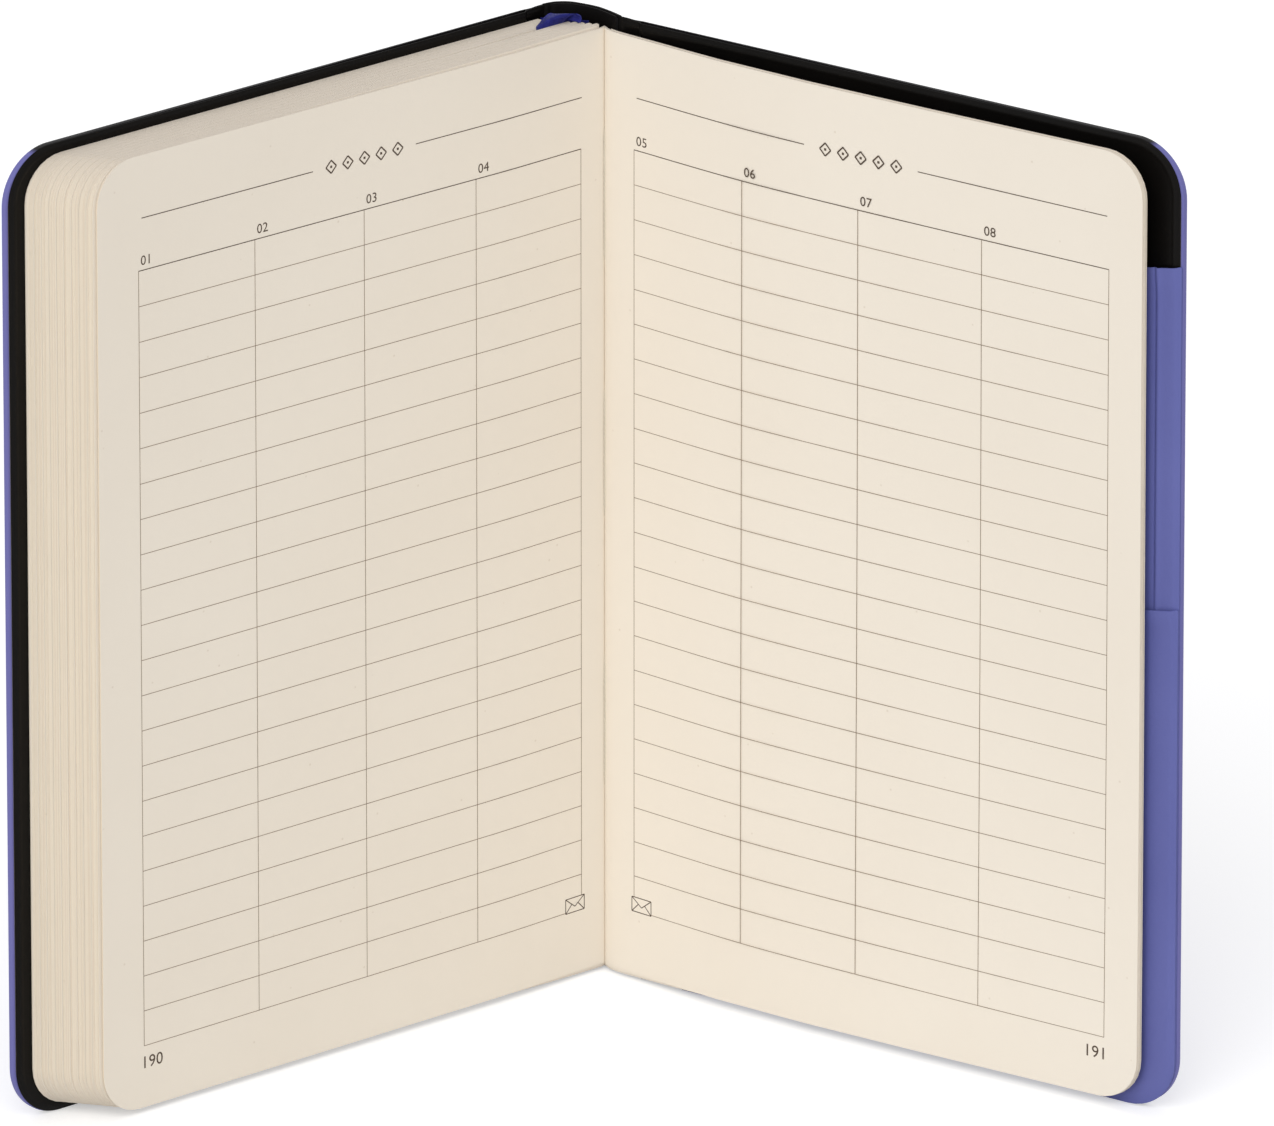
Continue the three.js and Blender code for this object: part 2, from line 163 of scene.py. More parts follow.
def effect_results(group, **results):
    """Puts out what a node group has worked out, under these names."""
    for label in results:
        group.interface.new_socket(label, in_out="OUTPUT", socket_type="NodeSocketFloat")
    out = group.nodes.new("NodeGroupOutput")
    for label, result in results.items():
        group.links.new(result, out.inputs[label])


def drive(material, result, target):
    """Links another node's output to one of a material's own inputs."""
    tree = material.node_tree
    tree.links.new(result, tree.nodes["Principled BSDF"].inputs[target])


def lay_over(material, tint, mask):
    """Lays another colour over a material's own where a mask says."""
    tree = material.node_tree
    own = tree.nodes["Principled BSDF"].inputs["Base Color"].links[0].from_socket
    mix = add_node(tree, "Mix", {"A": own, "B": colour(*tint), "Factor": mask}, data_type="RGBA")
    drive(material, mix.outputs["Result"], "Base Color")


def raise_relief(material, height, distance, strength):
    bump = add_node(material.node_tree, "Bump",
                    {"Height": height, "Distance": distance, "Strength": strength})
    drive(material, bump.outputs["Normal"], "Normal")


def toned_finish(name, effect, dark, light, relief=None, roughness=0.5, shine=0.5, turn=0, scale=(1, 1, 1),
                 **values):
    """A material that drifts between two colours by an effect's Tone, with a relief (distance, strength) by
    its Height. The effect reads the surface's own place, turned about the upright axis and stretched."""
    material = bpy.data.materials.new(name)
    material.use_nodes = True
    tree = material.node_tree
    shader = tree.nodes["Principled BSDF"]
    shader.inputs["Roughness"].default_value = roughness
    shader.inputs["Specular IOR Level"].default_value = shine
    place = add_node(tree, "TexCoord", {}).outputs["Object"]
    mapped = add_node(tree, "Mapping",
                      {"Vector": place, "Rotation": (0, 0, math.radians(turn)), "Scale": scale})
    looks = add_node(tree, "Group", {"Place": mapped.outputs["Vector"], **values}, node_tree=effect).outputs
    mix = add_node(tree, "Mix", {"A": colour(*dark), "B": colour(*light), "Factor": looks["Tone"]},
                   data_type="RGBA")
    drive(material, mix.outputs["Result"], "Base Color")
    if relief:
        raise_relief(material, looks["Height"], *relief)
    return material, looks


def paint_end_shade(material, reach):
    """Painted shade: black near head and tail, over the edges there that face up and down."""
    tree = material.node_tree
    place = add_node(tree, "TexCoord", {})
    axes = add_node(tree, "SeparateXYZ", {"Vector": place.outputs["Object"]})
    middle = add_node(tree, "Math", {0: axes.outputs["Z"], 1: cover_height / 2}, operation="SUBTRACT")
    apart = add_node(tree, "Math", {0: middle.outputs[0]}, operation="ABSOLUTE")
    edge = cover_height / 2 - reach
    end_shade_span = add_node(tree, "MapRange",
                     {"Value": apart.outputs[0], "From Min": edge - 0.5 * MM, "From Max": edge})
    lay_over(material, (20, 18, 20), end_shade_span.outputs["Result"])


# leather grain: small pebbles with fine pores between them, and slow changes of tone
leather_grain, grain_in = effect_group("leather grain", Pebble=1500, Cloud=28)
pebble = add_node(leather_grain, "TexVoronoi", {"Vector": grain_in["Place"], "Scale": grain_in["Pebble"],
                                                "Smoothness": 0.6}, feature="SMOOTH_F1")
pores = add_node(leather_grain, "TexNoise", {"Vector": grain_in["Place"], "Scale": 5200, "Detail": 3})
cloud = add_node(leather_grain, "TexNoise", {"Vector": grain_in["Place"], "Scale": grain_in["Cloud"],
                                             "Detail": 5})
grain_sum = add_node(leather_grain, "Math", {0: pores.outputs["Fac"], 1: 0.35, 2: pebble.outputs["Distance"]},
                     operation="MULTIPLY_ADD")
gloss_span = add_node(leather_grain, "MapRange",
                      {"Value": cloud.outputs["Fac"], "To Min": 0.42, "To Max": 0.62})
effect_results(leather_grain, Height=grain_sum.outputs[0], Tone=cloud.outputs["Fac"],
               Gloss=gloss_span.outputs["Result"])

lavender, lavender_grain = toned_finish("lavender skin", leather_grain, (104, 104, 168), (124, 122, 186),
                                        (0.00006, 0.5), shine=0.22)
drive(lavender, lavender_grain["Gloss"], "Roughness")
# painted shade: the skin's edges at head and tail shown black
paint_end_shade(lavender, 0.45 * MM)

# inside the joint the skin is covered by the black of the lining that is pasted into it
joint_black = toned_finish("black inside of the joint", leather_grain, (9, 8, 8), (17, 15, 14), (0.00004, 0.4),
                           roughness=0.6, shine=0.12)[0]


def pick(piece, kind, test):
    """In edit mode, selects only the vertices, edges or faces whose middle passes the test."""
    bpy.ops.mesh.select_all(action="DESELECT")
    bpy.ops.mesh.select_mode(type=kind)
    mesh = bmesh.from_edit_mesh(piece.data)
    if kind == "VERT":
        for vertex in mesh.verts:
            vertex.select_set(test(vertex.co, vertex.normal))
    elif kind == "EDGE":
        for edge in mesh.edges:
            low, high = edge.verts[0].co, edge.verts[1].co
            edge.select_set(test((low + high) / 2, (high - low).normalized()))
    else:
        for face in mesh.faces:
            face.select_set(test(face.calc_center_median(), face.normal))
    mesh.select_flush_mode()
    bmesh.update_edit_mesh(piece.data)


def cut_at(piece, places, axis=0):
    """In edit mode, cuts the whole piece across one axis at each place."""
    across = [0, 0, 0]
    across[axis] = 1
    for place in places:
        point = [0, 0, 0]
        point[axis] = place
        bpy.ops.mesh.select_all(action="SELECT")
        bpy.ops.mesh.bisect(plane_co=point, plane_no=across)


def select_only(piece):
    bpy.ops.object.select_all(action="DESELECT")
    piece.select_set(True)
    bpy.context.view_layer.objects.active = piece


def stand_open(piece, stand):
    """Turns a piece that was made in the closed book to where it stands in the open one."""
    turn, pivot, place = stand
    select_only(piece)
    piece.matrix_world = (Matrix.Translation((*place, 0)) @ Matrix.Rotation(math.radians(turn), 4, "Z")
                          @ Matrix.Translation((-pivot[0], -pivot[1], 0)) @ piece.matrix_world)
    bpy.ops.object.transform_apply(location=True, rotation=True, scale=True)


def smooth_edges(piece, degrees=32):
    select_only(piece)
    bpy.ops.object.shade_smooth_by_angle(angle=math.radians(degrees))


def cover_blank(name, start, end, low, high, margin, corner):
    """A block of a cover's shape, in edit mode: between two distances from the hinge line and two levels,
    with a margin at head and tail and its outer corners rounded."""
    bpy.ops.object.select_all(action="DESELECT")
    bpy.ops.mesh.primitive_cube_add(size=1, location=((start + end) / 2, (low + high) / 2, cover_height / 2))
    blank = bpy.context.object
    blank.name = name
    blank.scale = (end - start, abs(high - low), cover_height - 2 * margin)
    bpy.ops.object.transform_apply(location=True, rotation=True, scale=True)
    bpy.ops.object.mode_set(mode="EDIT")
    pick(blank, "EDGE", lambda at, along: abs(along.y) > 0.9 and at.x > end / 2)
    bpy.ops.mesh.bevel(offset=corner, segments=18, affect="EDGES")
    return blank


def cover_skin(side, width, outer, inwards, stand):
    top = outer + inwards * cover_top
    skin = cover_blank(f"{side}_skin", 0.04 * MM, width, outer, top, 0, cover_corner)
    pick(skin, "FACE", lambda at, facing: facing.y * inwards > 0.9)
    bpy.ops.mesh.inset(thickness=skin_rim)
    hollow = (0, -inwards * (cover_top - skin_thickness), 0)
    bpy.ops.mesh.extrude_region_move(TRANSFORM_OT_translate={"value": hollow})
    pick(skin, "EDGE", lambda at, along: abs(along.y) < 0.3 and abs(at.y - outer) < 1e-6)
    bpy.ops.mesh.bevel(offset=0.34 * MM, segments=4, affect="EDGES")
    pick(skin, "EDGE", lambda at, along: abs(along.y) < 0.3 and abs(at.y - top) < 1e-6 and at.x > 1 * MM)
    bpy.ops.mesh.bevel(offset=0.06 * MM, segments=2, affect="EDGES")
    # the groove that lets the cover fold is only skin, mitred where the spine begins
    pick(skin, "VERT", lambda at, facing: at.x < 0.7 * MM and abs(at.y - outer) > skin_thickness)
    bpy.ops.transform.resize(value=(1, 0, 1), center_override=(0, outer + inwards * skin_thickness, 0))
    pick(skin, "VERT", lambda at, facing: at.x < 0.3 * MM and abs(at.y - outer) > skin_thickness * 0.9)
    bpy.ops.transform.translate(value=(0.36 * MM, 0, 0))
    groove = [joint_middle + joint_reach * share / 4 for share in range(-4, 5)]
    cut_at(skin, groove)
    for place in groove:
        lift = joint_depth * math.cos((place - joint_middle) / joint_reach * math.pi / 2) ** 2
        pick(skin, "VERT", lambda at, facing: abs(at.x - place) < 1e-6
             and abs(at.y - outer) < skin_thickness * 1.1)
        bpy.ops.transform.translate(value=(0, inwards * lift, 0))
    bpy.ops.mesh.select_all(action="SELECT")
    bpy.ops.mesh.remove_doubles(threshold=1e-7)
    bpy.ops.object.mode_set(mode="OBJECT")
    skin.data.materials.append(lavender)
    skin.data.materials.append(joint_black)
    for face in skin.data.polygons:
        if face.center.x < 5.4 * MM and face.normal.y * inwards > -0.35:
            face.material_index = 1
    stand_open(skin, stand)
    smooth_edges(skin)
    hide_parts(f"{side}_cover_skin")
    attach(skin, f"{side}_cover")


for cover in covers:
    cover_skin(*cover)


# Boards: grey millboard in both covers and a thin card in the spine, glued to the inside of the skins. They
# keep the shape of the solids, with a finish of pressed pulp, and painted shade: black within 4 mm of head and
# tail.
pulp, pulp_in = effect_group("pulp fibres", Fibre=2600, Cloud=18)
fibre = add_node(pulp, "TexNoise", {"Vector": pulp_in["Place"], "Scale": pulp_in["Fibre"], "Detail": 4,
                                    "Distortion": 1.6})
mottle = add_node(pulp, "TexNoise", {"Vector": pulp_in["Place"], "Scale": pulp_in["Cloud"], "Detail": 6,
                                     "Roughness": 0.62})
speck = add_node(pulp, "TexVoronoi", {"Vector": pulp_in["Place"], "Scale": 170})
speck_span = add_node(pulp, "MapRange",
                      {"Value": speck.outputs["Distance"], "From Min": 0.05, "From Max": 0.02})
effect_results(pulp, Height=fibre.outputs["Fac"], Tone=mottle.outputs["Fac"],
               Fleck=speck_span.outputs["Result"])

millboard = toned_finish("grey millboard", pulp, (118, 110, 98), (158, 150, 137), (0.0001, 0.6),
                         roughness=0.92, Fibre=1400, Cloud=160)[0]
# painted shade: the board's edges at head and tail shown black
paint_end_shade(millboard, 4 * MM)
for node in ("front_cover_board", "back_cover_board", "spine_card"):
    for material_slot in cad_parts[node].material_slots:
        material_slot.material = millboard


# Cover linings: black coated paper pasted over the boards and dipping into the joint beside the spine. The
# turned-in skin beneath shows as a low ridge along the three outer edges.
lining_thickness = 0.18 * MM
lining_depth = 1.33 * MM      # outer face of the cover to the underside of the lining
lining_rim = 0.6 * MM
lining_end = 0.05 * MM
joint_dips = ((0.2, 0.86), (1.2, 0.84), (3, 0.66), (4.2, 0.6), (4.95, 0))

black_lining, lining_pulp = toned_finish("black lining paper", pulp, (7, 7, 7), (18, 15, 13), (0.00003, 0.4),
                                         shine=0.09, Fibre=3000, Cloud=30)
lining_gloss = add_node(black_lining.node_tree, "MapRange",
                        {"Value": lining_pulp["Tone"], "To Min": 0.26, "To Max": 0.42})
drive(black_lining, lining_gloss.outputs["Result"], "Roughness")


def joint_dip(place):
    """How far the lining sinks into the joint at a distance from the hinge line."""
    last = joint_dips[0]
    for point in joint_dips:
        if place < point[0] * MM:
            share = 0 if point is last else (place / MM - last[0]) / (point[0] - last[0])
            return (last[1] + (point[1] - last[1]) * min(max(share, 0), 1)) * MM
        last = point
    return 0


def cover_lining(side, width, outer, inwards, stand):
    under = outer + inwards * lining_depth
    over = under + inwards * lining_thickness
    lining = cover_blank(f"{side}_lining", 0.1 * MM, width - lining_rim, under, over, lining_end,
                         cover_corner - lining_rim)
    pick(lining, "EDGE", lambda at, along: abs(along.y) < 0.3 and abs(at.y - over) < 1e-6 and at.x > 1 * MM)
    bpy.ops.mesh.bevel(offset=0.15 * MM, segments=4, affect="EDGES")
    pick(lining, "FACE", lambda at, facing: facing.y * inwards > 0.99)
    for thickness, rise in ((0.1, 0), (0.3, 0.1), (0.25, 0.06), (0.4, 0), (0.3, -0.08), (0.4, -0.1)):
        bpy.ops.mesh.inset(thickness=thickness * MM)
        bpy.ops.transform.translate(value=(0, inwards * rise * MM, 0))
    cut_at(lining, [place * MM for place, dip in joint_dips[1:]] + [4.5 * MM, 5.2 * MM])
    bpy.ops.object.mode_set(mode="OBJECT")
    for vertex in lining.data.vertices:
        vertex.co.y -= inwards * joint_dip(vertex.co.x)
    lining.data.materials.append(black_lining)
    stand_open(lining, stand)
    smooth_edges(lining)
    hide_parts(f"{side}_cover_lining")
    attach(lining, f"{side}_cover")


for cover in covers:
    cover_lining(*cover)


# Spine: the same lavender skin, rounded over a card, with the black lining behind it. Both are strips that
# follow one profile between the two hinge lines, and their long edges are cut on the mitre at the covers.
spine_length = back_face - front_face
spine_bulge = 3.1 * MM
spine_arch = ((0, 0), (0.1, 0.62), (0.26, 1), (0.45, 1), (0.62, 0.88), (0.76, 0.62), (0.88, 0.33),
              (0.95, 0.14), (1, 0))
spine_stand = (243.5, (0, front_face), (-5.846 * MM, 38.356 * MM))


def spine_point(share):
    """A point of the spine's outer profile, on a smooth curve through the points of the arch."""
    span = (len(spine_arch) - 1) * share
    first = min(int(span), len(spine_arch) - 2)
    reach = span - first
    a, b, c, d = [Vector(spine_arch[min(max(first + step, 0), len(spine_arch) - 1)])
                  for step in (-1, 0, 1, 2)]
    leave, arrive = (c - a) / 2, (d - b) / 2
    at = ((2 * b - 2 * c + leave + arrive) * reach ** 3 + (3 * c - 3 * b - 2 * leave - arrive) * reach ** 2
          + leave * reach + b)
    return Vector((-at.y * spine_bulge, front_face + at.x * spine_length))


def bent_sheet(name, columns, rows, place, thickness, finishes, side=0):
    """A grid whose points stand where `place` puts them, from the column and the share of its height, with a
    thickness: on the middle of it for side 0. A second finish goes on its cut edges."""
    bpy.ops.object.select_all(action="DESELECT")
    bpy.ops.mesh.primitive_grid_add(x_subdivisions=columns, y_subdivisions=rows, size=2)
    piece = bpy.context.object
    piece.name = name
    for vertex in piece.data.vertices:
        vertex.co = place(round((vertex.co.x + 1) / 2 * columns), (vertex.co.y + 1) / 2)
    for material in finishes:
        piece.data.materials.append(material)
    bpy.ops.object.modifier_add(type="SOLIDIFY")
    wall = piece.modifiers[-1]
    wall.thickness = thickness
    wall.offset = side
    wall.use_even_offset = True
    wall.use_quality_normals = True
    wall.material_offset_rim = len(finishes) - 1
    bpy.ops.object.modifier_apply(modifier=wall.name)
    return piece


def soften(piece, width):
    """Rounds the sharp edges of the piece that was made last."""
    bpy.ops.object.modifier_add(type="BEVEL")
    edges = piece.modifiers[-1]
    edges.width = width
    edges.segments = 2
    edges.angle_limit = math.radians(60)
    bpy.ops.object.modifier_apply(modifier=edges.name)


def spine_layer(name, node, finish, depths, insets, ends):
    """A strip of the spine between two depths, whose outer and inner faces have their own insets."""
    columns = 36
    thickness = depths[1] - depths[0]

    def profile(column, depth, inset):
        share = inset / spine_length + (1 - 2 * inset / spine_length) * column / columns
        along = (spine_point(min(share + 0.01, 1)) - spine_point(max(share - 0.01, 0))).normalized()
        return spine_point(share) + Vector((along.y, -along.x)) * depth

    def place(column, share):
        at = profile(column, depths[0], insets[0])
        return (at.x, at.y, ends + (cover_height - 2 * ends) * share)

    layer = bent_sheet(name, columns, 8, place, thickness, finish, -1)
    outline = [profile(step / 4, 0, 0.05 * MM) for step in range(4 * columns + 1)]
    for face in layer.data.polygons:
        below = min((point - face.center.xy).length for point in outline)
        face.material_index = 1 if len(finish) > 1 and below > thickness * 0.3 else 0
    outer_profile, inner_profile = [[profile(column, depth, inset) for column in range(columns + 1)]
                                    for depth, inset in zip(depths, insets)]
    for vertex in layer.data.vertices:
        apart = [(point - vertex.co.xy).length for point in outer_profile]
        nearest = apart.index(min(apart))
        vertex.co.xy = (outer_profile if apart[nearest] < thickness / 2 else inner_profile)[nearest]
    soften(layer, 0.07 * MM)
    stand_open(layer, spine_stand)
    smooth_edges(layer)
    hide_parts(node)
    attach(layer, "spine")


spine_layer("spine_cloth", "spine_skin", [lavender, joint_black], (0, skin_thickness),
            (0.05 * MM, 0.45 * MM), 0)
spine_layer("spine_paper", "spine_lining", [black_lining], (0.88 * MM, 1.06 * MM),
            (1.0 * MM, 1.05 * MM), 0.05 * MM)


# Pocket: two tiers of the lavender cloth on the back cover, one behind the other, glued round their sides and
# tail. Their top edges are open. Each is pulled down to the cover's edge, the tall one past a crease along the
# fore-edge.
pocket_thickness = 0.28 * MM
pocket_hinge_side = 14 * MM
pocket_edge = back_cover_width - 0.12 * MM
pocket_crease = 112.6 * MM

pocket_cloth, pocket_grain = toned_finish("lavender pocket cloth", leather_grain, (93, 98, 162),
                                          (110, 115, 180), (0.00006, 0.5), shine=0.2)
drive(pocket_cloth, pocket_grain["Gloss"], "Roughness")


def smooth(share):
    share = min(max(share, 0), 1)
    return share * share * (3 - 2 * share)


def pocket_tier(name, node, top, level, edge_level, tail_corner, crease_lift):
    """`level` is that of the tier's middle over the lining, `edge_level` where it is pulled over the rim."""
    top_corner = 0.3 * MM
    tail = 0.12 * MM
    along = [pocket_hinge_side + place * MM for place in (0, 0.8, 2.5, 6, 20, 45, 70, 90)]
    along += [pocket_crease + place * MM
              for place in (-1.2, -0.7, -0.45, -0.3, -0.15, 0, 0.15, 0.3, 0.45, 0.7, 1.2)]
    for step in range(11):
        along.append(pocket_edge - tail_corner * (1 - math.sin(math.pi / 2 * step / 10)))
    along = sorted(along + [pocket_edge - 1.4 * MM, pocket_edge - 0.7 * MM, pocket_edge - 0.35 * MM])
    rows = 30

    def corner(x, radius):
        reach = max(x - (pocket_edge - radius), 0) / radius
        return radius * (1 - math.sqrt(max(1 - reach * reach, 0)))

    def place(column, share):
        x = along[column]
        low = tail + corner(x, tail_corner)
        high = top - corner(x, top_corner) + 0.17 * (max(x, 105 * MM) - 111.2 * MM)
        height = low + (high - low) * share
        apart = (x - pocket_crease) / (0.42 * MM)
        crease = crease_lift * apart * math.exp(-apart * apart / 2) * smooth((height - 90 * MM) / (3 * MM))
        pulled = smooth((x - pocket_edge + 1.3 * MM) / (1.2 * MM))
        glued = 1 - smooth((x - pocket_hinge_side) / (5 * MM))
        gape = 0.35 * MM * smooth((height - top + 22 * MM) / (21 * MM)) * math.sin(
            math.pi * min(max((x - pocket_hinge_side) / (pocket_crease - pocket_hinge_side), 0), 1))
        lip = 0.45 * MM * smooth((height - high + 1.3 * MM) / (1.3 * MM)) * smooth((x - 100 * MM) / (8 * MM))
        down = max(pulled, 1 - smooth((height - low) / (1.2 * MM)))
        sunk = (edge_level - level) * down + (11.86 * MM - level) * glued * 0.6 * (1 - down)
        return (x, level + sunk - crease - gape - lip * (1 - pulled), height)

    tier = bent_sheet(name, len(along) - 1, rows, place, pocket_thickness, [pocket_cloth])
    soften(tier, 0.06 * MM)
    stand_open(tier, back_stand)
    smooth_edges(tier)
    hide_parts(node)
    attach(tier, "back_cover")


pocket_tier("pocket_tall_tier", "pocket_upper", 157 * MM, 11.7 * MM, 12.08 * MM, 9.8 * MM, 0.42 * MM)
pocket_tier("pocket_short_tier", "pocket_lower", 93.6 * MM, 11.33 * MM, 11.74 * MM, 9.6 * MM, 0)


# Text block: nine sewn sections on the front cover, each of five folded sheets laid one in another. They have
# slid back in steps, as an open book does, so that their fore-edges make a slanted face with round corners.
page_width = 114 * MM
page_tail = 1.3 * MM
page_height = 176.8 * MM
page_corner = 8 * MM
fold_line = 2 * MM            # folds to the hinge lines of the closed book
sections_shown = 9.5
section_place = (-4.817 * MM, 36.965 * MM)
section_slides = (0, 0.8, 1.6, 2.4, 3.2, 4, 4.8, 5.6, 6.4, 7)
sheet_thickness = 0.086 * MM
ribbon_side = 4               # the ribbon lies between this section and the next

paper, paper_pulp = toned_finish("cream paper", pulp, (241, 231, 216), (249, 241, 228), (0.00002, 0.5),
                                 roughness=0.85, shine=0.25, Fibre=2400, Cloud=14)
lay_over(paper, (233, 222, 206), paper_pulp["Fleck"])

# cut edges: every leaf has its own tone, with painted shade as darker lines where leaves part, and painted
# shade on head and tail, which face up and down
leaf_edges, edges_in = effect_group("leaf edges", Leaf=11000)
edge_axes = add_node(leaf_edges, "SeparateXYZ", {"Vector": edges_in["Place"]})
edge_drift = add_node(leaf_edges, "TexNoise", {"Vector": edges_in["Place"], "Scale": 60})
edge_level = add_node(leaf_edges, "Math", {0: edge_drift.outputs["Fac"], 1: 0.00012,
                                           2: edge_axes.outputs["Y"]}, operation="MULTIPLY_ADD")
leaf_tones, leaf_lines = [add_node(leaf_edges, "TexNoise", {"W": edge_level.outputs[0],
                                                            "Scale": edges_in["Leaf"], "Detail": detail},
                                   noise_dimensions="1D") for detail in (2, 0)]
# painted shade: darker lines where the leaves part
gap_shade_span = add_node(leaf_edges, "MapRange", {"Value": leaf_lines.outputs["Fac"], "From Min": 0.58,
                                              "From Max": 0.7})
# painted shade: faces that point up or down, at head and tail, made darker
facing = add_node(leaf_edges, "NewGeometry", {})
facing_axes = add_node(leaf_edges, "SeparateXYZ", {"Vector": facing.outputs["Normal"]})
facing_up = add_node(leaf_edges, "Math", {0: facing_axes.outputs["Z"]}, operation="ABSOLUTE")
effect_results(leaf_edges, Tone=leaf_tones.outputs["Fac"], Gap=gap_shade_span.outputs["Result"],
               Ends=facing_up.outputs[0])


def edge_finish(name, turn):
    """The paper's cut edge, its leaves counted across a block that stands turned by these degrees."""
    finish, leaves = toned_finish(name, leaf_edges, (247, 228, 206), (255, 249, 226), roughness=0.9,
                                  shine=0.2, turn=turn)
    # painted shade: darker lines between the leaves, and darker faces at head and tail
    lay_over(finish, (222, 198, 172), leaves["Gap"])
    lay_over(finish, (224, 213, 199), leaves["Ends"])
    return finish


block_edge = edge_finish("cut edge of the block", -216.5)
open_edge = edge_finish("cut edge of the open leaves", -323.5)
random.seed(11)


def block_level(share, along):
    """Level in the closed book of the block's layers, which swell from 9.5 mm at the folds to 10.2 mm."""
    return share * (9.5 + 0.7 * smooth(along / (26 * MM))) * MM


def leaf_level(count, within, along):
    """Level of a leaf, from the share of its section's thickness that lies below it."""
    opened = 0.2 * MM * (1 - smooth((along - 11 * MM) / (30 * MM)))
    low = block_level((count - 1) / sections_shown, along) + max(
        0.03 * MM, opened if count == ribbon_side + 1 else 0)
    high = block_level(count / sections_shown, along) - max(0.03 * MM, opened if count == ribbon_side else 0)
    return low + (high - low) * within


def leaf_stations(width, first=1.2 * MM):
    """Distances from the fold along a leaf, each with the height that its rounded corners lose there."""
    stations = [(first, 0)] + [(place * MM, 0) for place in (2.6, 5, 8, 12, 16, 20, 26, 45, 70, 95)]
    for step in range(9):
        angle = math.pi / 2 * step / 8
        stations.append((width - page_corner * (1 - math.sin(angle)), page_corner * (1 - math.cos(angle))))
    return stations


def standing(points):
    """Places a sheet's columns at these points (across, up to the reader, height lost at each corner)."""
    def place(column, share):
        x, y, cut = points[column]
        return (x, y, page_tail + cut + (page_height - 2 * cut) * share)
    return place


def join_pieces(pieces, name):
    bpy.ops.object.select_all(action="DESELECT")
    for piece in pieces:
        piece.select_set(True)
    bpy.context.view_layer.objects.active = pieces[0]
    if len(pieces) > 1:
        bpy.ops.object.join()
    pieces[0].name = name
    return pieces[0]


def folded_sheet(count, nested):
    """One folded sheet of a section. Sheet 0 is the outermost."""
    low, high = (nested + 0.5) / 10, 1 - (nested + 0.5) / 10
    bottom, top = leaf_level(count, low, 0), leaf_level(count, high, 0)
    middle, radius = (bottom + top) / 2, (top - bottom) / 2
    centre = fold_line + 0.5 * MM
    points = []
    for within in (low, high):
        width = page_width - 0.2 * MM - 0.66 * MM * within + random.uniform(-0.04, 0.04) * MM
        leaf = [(fold_line + along, leaf_level(count, within, along), cut)
                for along, cut in leaf_stations(width)]
        if within == low:
            points += [] if count == 1 and nested == 0 else leaf[::-1]
            for step in range(1, 8):
                angle = math.pi * (0.5 + step / 8)
                back, up = -math.cos(angle), math.sin(angle)
                level = middle - radius * math.copysign(abs(up) ** 0.6, up)
                points.append((centre - radius * back ** 0.7, level, 0))
        else:
            points += leaf
    return bent_sheet("sheet", len(points) - 1, 1, standing(points), sheet_thickness, [paper, block_edge])


for count in range(1, 10):
    section = join_pieces([folded_sheet(count, nested) for nested in range(5)], f"sewn_section_{count:02d}")
    stand_open(section, (216.5, (section_slides[count - 1] * MM, 0), section_place))
    smooth_edges(section, 40)
    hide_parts(f"section_{count:02d}")
    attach(section, "page_block" if count == 1 else f"section_{count:02d}")


# First leaf and front flyleaf: single sheets under the block, between it and the front cover. Each turns by
# itself, and the flyleaf is of a slightly heavier paper.
def single_leaf(name, node, body, level, thickness):
    points = [(fold_line + along, level + thickness / 2, cut)
              for along, cut in leaf_stations(page_width, first=0.15 * MM)]
    leaf = bent_sheet(name, len(points) - 1, 1, standing(points), thickness, [paper, block_edge])
    stand_open(leaf, (216.5, (0, 0), section_place))
    smooth_edges(leaf, 40)
    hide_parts(node)
    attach(leaf, body)


single_leaf("front_fly_sheet", "front_flyleaf", "front_flyleaf", -0.17 * MM, 0.12 * MM)
single_leaf("first_page_sheet", "first_leaf", "first_leaf", 0.005 * MM, 0.088 * MM)


# Last section, open at its middle: five sheets that lie on the block at the left, cross the gutter and arch
# over the back cover at the right. They are bent in the gutter, between the section and the leaves at the
# right.
to_left = Vector((-0.803857, -0.594823))
off_left = Vector((0.594823, -0.803857))
to_right = Vector((0.803857, -0.594823))
off_right = Vector((-0.594823, -0.803857))
left_rise = 0.7               # the left page swells by this many millimetres over 26 mm
left_climb = 0.002            # and its far edge stands this much higher, for each millimetre from the gutter
right_arch = ((0, 0), (0.9, 0.6), (2, 1.05), (4, 1.35), (8.5, 1.72), (15, 2.4), (22, 3.1), (29, 3.7),
              (36, 4.05), (48, 4.25), (60, 4.3), (85, 4.15), (103, 3.95), (118, 3.8))
right_sag = 0.0065            # how far the open leaves hang down, for each millimetre from the gutter
head_low = 0.5                # the open section's head is this much lower than the block's in the gutter
left_tail, left_head = -0.0048, 0.0044         # and its edges spread by this much for each millimetre
right_tail, right_head = 0.0097, 0.0099


def along_curve(curve, place):
    """The value of a curve of (place, value) points at a place, straight between them."""
    for (start, low), (end, high) in zip(curve, curve[1:]):
        if place <= end:
            return low + (high - low) * max(place - start, 0) / (end - start)
    return curve[-1][1]


def soft_curve(curve, place):
    """The same, averaged over a short reach that is nought at the fold."""
    reach = min(place * 0.3, 4)
    return sum(along_curve(curve, place + reach * step / 4) for step in range(-4, 5)) / 9


def left_page(across, height, lift=0, back=0):
    """A point on the left page, both in millimetres: `back` counts leaves behind it."""
    level = left_rise * smooth(across / 26) * (1 - back * 0.0113) - back * 0.107 + lift
    at = gutter.xy + (to_left * across + off_left * level) * MM
    return Vector((at.x, at.y, (height + left_climb * across) * MM))


def right_page(across, height, lift=0, back=0):
    """A point on the right page, which arches over the cover and hangs down a little at its fore-edge."""
    level = soft_curve(right_arch, across)
    wave = 0.1 * math.sin(height / 31 + across / 40) * smooth(across / 60)
    stack = back * (0.107 + 0.035 * smooth(across / 100))
    at = gutter.xy + (to_right * across + off_right * (level + wave - stack + lift)) * MM
    return Vector((at.x, at.y, (height - right_sag * across) * MM))


